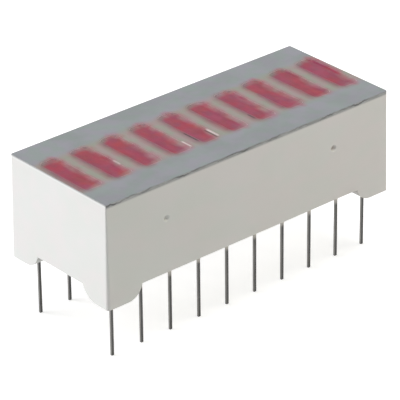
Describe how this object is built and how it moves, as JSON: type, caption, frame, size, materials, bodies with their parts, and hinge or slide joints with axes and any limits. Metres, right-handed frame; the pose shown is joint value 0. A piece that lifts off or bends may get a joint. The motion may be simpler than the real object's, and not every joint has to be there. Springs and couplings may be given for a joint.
{
  "type": "led bar graph",
  "caption": "LED bar graph in a dual in-line package: white drafted reflector housing on four corner feet, grey face film, a row of red segments and two rows of thin straight leads.",
  "frame": {"origin": "centre of the seating plane, which the four feet share and which meets the printed circuit board; the leads run below it", "axes": "+X along the row of segments, +Y across the package from the anode leads to the cathode leads, +Z out of the lit face"},
  "size_m": [0.0254, 0.0102, 0.0121],
  "materials": {
    "housing": "moulded white, satin",
    "film": "grey diffusing film, satin",
    "light_bar": "red diffused epoxy",
    "die": "semiconductor chip",
    "wire": "gold wire",
    "lead": "tin plated, dull",
    "potting": "cast resin, slightly yellow"
  },
  "bodies": {
    "root": {"reflector_housing": "housing", "face_film": "film", "back_potting": "potting", "light_bar_1": "light_bar", "light_bar_2": "light_bar", "light_bar_3": "light_bar", "light_bar_4": "light_bar", "light_bar_5": "light_bar", "light_bar_6": "light_bar", "light_bar_7": "light_bar", "light_bar_8": "light_bar", "light_bar_9": "light_bar", "light_bar_10": "light_bar", "led_die_1": "die", "led_die_2": "die", "led_die_3": "die", "led_die_4": "die", "led_die_5": "die", "led_die_6": "die", "led_die_7": "die", "led_die_8": "die", "led_die_9": "die", "led_die_10": "die", "bond_wire_1": "wire", "bond_wire_2": "wire", "bond_wire_3": "wire", "bond_wire_4": "wire", "bond_wire_5": "wire", "bond_wire_6": "wire", "bond_wire_7": "wire", "bond_wire_8": "wire", "bond_wire_9": "wire", "bond_wire_10": "wire", "anode_lead_1": "lead", "anode_lead_2": "lead", "anode_lead_3": "lead", "anode_lead_4": "lead", "anode_lead_5": "lead", "anode_lead_6": "lead", "anode_lead_7": "lead", "anode_lead_8": "lead", "anode_lead_9": "lead", "anode_lead_10": "lead", "cathode_lead_1": "lead", "cathode_lead_2": "lead", "cathode_lead_3": "lead", "cathode_lead_4": "lead", "cathode_lead_5": "lead", "cathode_lead_6": "lead", "cathode_lead_7": "lead", "cathode_lead_8": "lead", "cathode_lead_9": "lead", "cathode_lead_10": "lead"}
  },
  "joints": []
}
